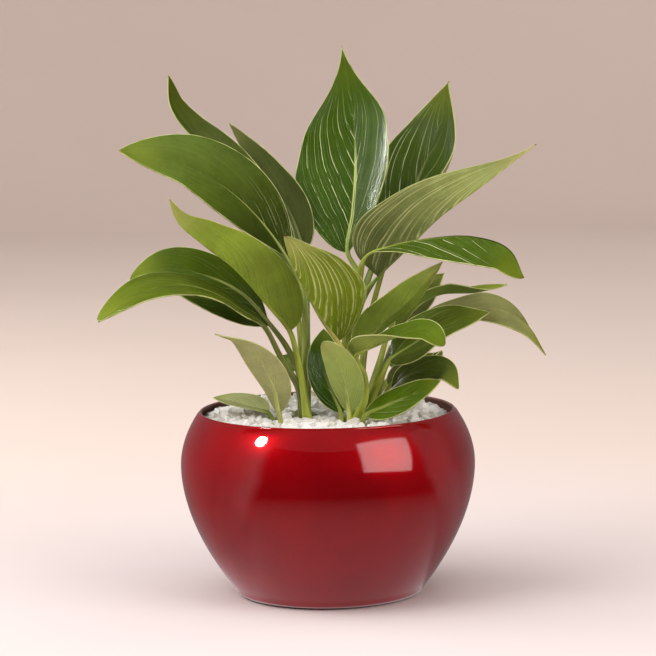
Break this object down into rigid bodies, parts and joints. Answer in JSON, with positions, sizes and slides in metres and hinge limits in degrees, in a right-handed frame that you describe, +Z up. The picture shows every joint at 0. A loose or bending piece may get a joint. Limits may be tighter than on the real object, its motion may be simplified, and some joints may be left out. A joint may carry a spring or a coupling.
{
  "type": "potted plant",
  "caption": "Potted birkin philodendron with striped leaves on upright stalks, in a round glossy red metal bowl filled with soil under white marble chips.",
  "frame": {"origin": "middle of the bowl's flat underside, on the surface it stands on", "axes": "+Z up along the bowl's axis, +X to the right and -Y to the front as the plant is seen from its best side"},
  "size_m": [0.2212, 0.175, 0.2771],
  "materials": {
    "pot_red": "glossy deep red metallic lacquer",
    "soil_brown": "matte dark potting mix",
    "marble_white": "white marble chips",
    "stalk_green": "satin fresh stalk",
    "leaf_light": "matte olive underside",
    "leaf_middle": "glossy leaf with cream stripes",
    "leaf_dark": "glossy dark leaf"
  },
  "bodies": {
    "root": {"pot": "pot_red", "soil": "soil_brown", "gravel": "marble_white", "crown_left": "stalk_green", "crown_right": "stalk_green", "crown_back": "stalk_green", "leaf_tall_centre": "leaf_middle", "leaf_tall_right": "leaf_dark", "leaf_right_upright": "leaf_light", "leaf_right_arched": "leaf_middle", "leaf_front_centre": "leaf_light", "leaf_right_middle": "leaf_middle", "leaf_right_gutter": "leaf_middle", "leaf_right_short": "leaf_dark", "leaf_right_drooping": "leaf_middle", "leaf_right_level": "leaf_light", "leaf_right_behind": "leaf_middle", "leaf_low_right_curled": "leaf_dark", "leaf_low_right_behind": "leaf_middle", "leaf_low_right_front": "leaf_middle", "leaf_low_centre_dark": "leaf_dark", "leaf_low_centre_front": "leaf_light", "leaf_low_left_upright": "leaf_light", "leaf_low_left_flat": "leaf_light", "leaf_left_tall": "leaf_dark", "leaf_left_broad": "leaf_middle", "leaf_left_behind": "leaf_dark", "leaf_left_middle": "leaf_middle", "leaf_left_wide_low": "leaf_dark", "leaf_left_narrow_low": "leaf_middle", "leaf_back_left": "leaf_middle", "leaf_back_right": "leaf_middle", "leaf_back_centre": "leaf_middle", "leaf_back_low_left": "leaf_middle", "leaf_back_low_right": "leaf_middle"}
  },
  "joints": []
}
